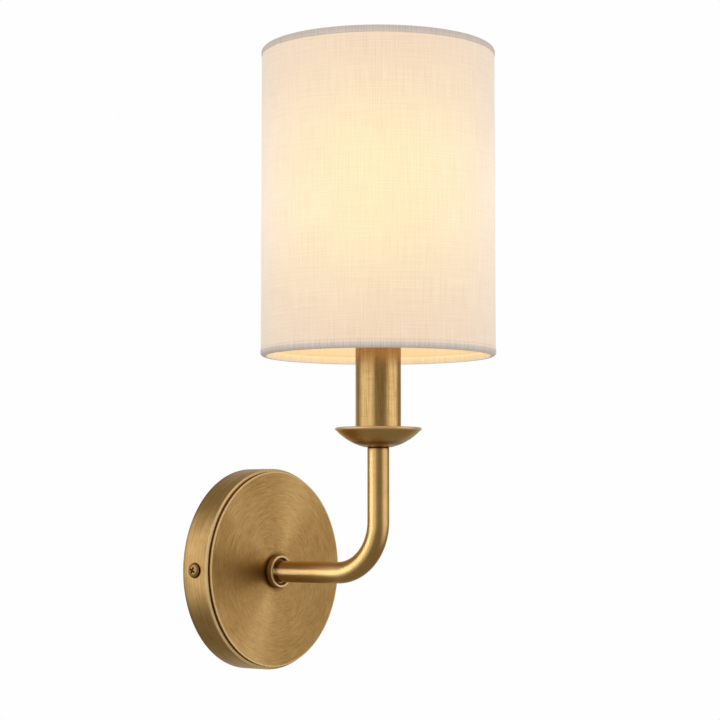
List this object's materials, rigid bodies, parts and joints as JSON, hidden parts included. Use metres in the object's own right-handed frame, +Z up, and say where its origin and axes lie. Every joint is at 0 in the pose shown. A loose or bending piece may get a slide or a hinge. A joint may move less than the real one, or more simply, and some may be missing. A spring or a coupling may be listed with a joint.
{
  "type": "fabric shade wall light",
  "caption": "Wall light with a round canopy, a bent brass tube arm, a drip dish, a candle sleeve and a straight drum shade in linen over a screw-in candle bulb.",
  "frame": {"origin": "centre of the canopy and of the wall fixing slots, on the wall's surface", "axes": "+Z up along the lamp axis, -Y out from the wall, +X to the right when facing the wall"},
  "size_m": [0.1366, 0.1663, 0.3646],
  "materials": {
    "antique_brass": "brushed antique brass with darker patina",
    "inner_brass": "plain bright brass",
    "zinc_steel": "zinc plated pressed steel",
    "linen": "plain weave cream linen",
    "liner": "translucent white styrene",
    "white_wire": "white powder coat",
    "lampholder": "moulded white thermoset",
    "terminal": "moulded white polyamide",
    "bulb_glass": "satin frosted glass",
    "nickel": "nickel plated",
    "black_insulator": "black glass insulator",
    "clear_glass": "clear glass",
    "filament": "yellow phosphor coating",
    "brown_lead": "smooth insulation",
    "blue_lead": "smooth insulation",
    "green_lead": "smooth green and yellow insulation"
  },
  "bodies": {
    "fixture": {"wall_bracket": "zinc_steel", "bracket_ears": "zinc_steel", "canopy_pan": "antique_brass", "face_disc": "antique_brass", "side_screws": "antique_brass", "earth_screw": "zinc_steel", "earth_tag": "inner_brass", "terminal_block": "terminal", "terminal_inserts": "inner_brass", "terminal_screws": "zinc_steel", "block_screws": "zinc_steel", "mounting_nipple": "zinc_steel", "lock_washer": "zinc_steel", "canopy_nut": "zinc_steel", "arm_collar": "antique_brass", "arm_tube": "antique_brass", "riser_nipple": "zinc_steel", "drip_dish": "antique_brass", "dish_washer": "zinc_steel", "holder_bracket": "zinc_steel", "holder_nut": "zinc_steel", "holder_rivets": "zinc_steel", "lampholder_body": "lampholder", "screw_shell": "inner_brass", "centre_contact": "inner_brass", "candle_sleeve": "antique_brass", "live_lead": "brown_lead", "neutral_lead": "blue_lead", "earth_lead": "green_lead"},
    "shade": {"carrier_washer": "white_wire", "carrier_arms": "white_wire", "bottom_wire_ring": "white_wire", "top_wire_ring": "white_wire", "shade_liner": "liner", "shade_fabric": "linen"},
    "ring": {"shade_ring": "lampholder"},
    "bulb": {"bulb_glass": "bulb_glass", "bulb_cap": "nickel", "bulb_insulator": "black_insulator", "bulb_contact": "nickel", "bulb_stem": "clear_glass", "led_filaments": "filament"}
  },
  "joints": [
    {"name": "shade_turn", "type": "hinge", "parent": "fixture", "child": "shade", "pos_m": [0, -0.098, 0.172], "axis": [0, 0, 1], "continuous": true},
    {"name": "ring_travel", "type": "slide", "parent": "fixture", "child": "ring", "axis": [0, 0, 1], "range_m": [0, 0.008]},
    {"name": "bulb_lift", "type": "slide", "parent": "fixture", "child": "bulb", "axis": [0, 0, 1], "range_m": [0, 0.15]}
  ]
}
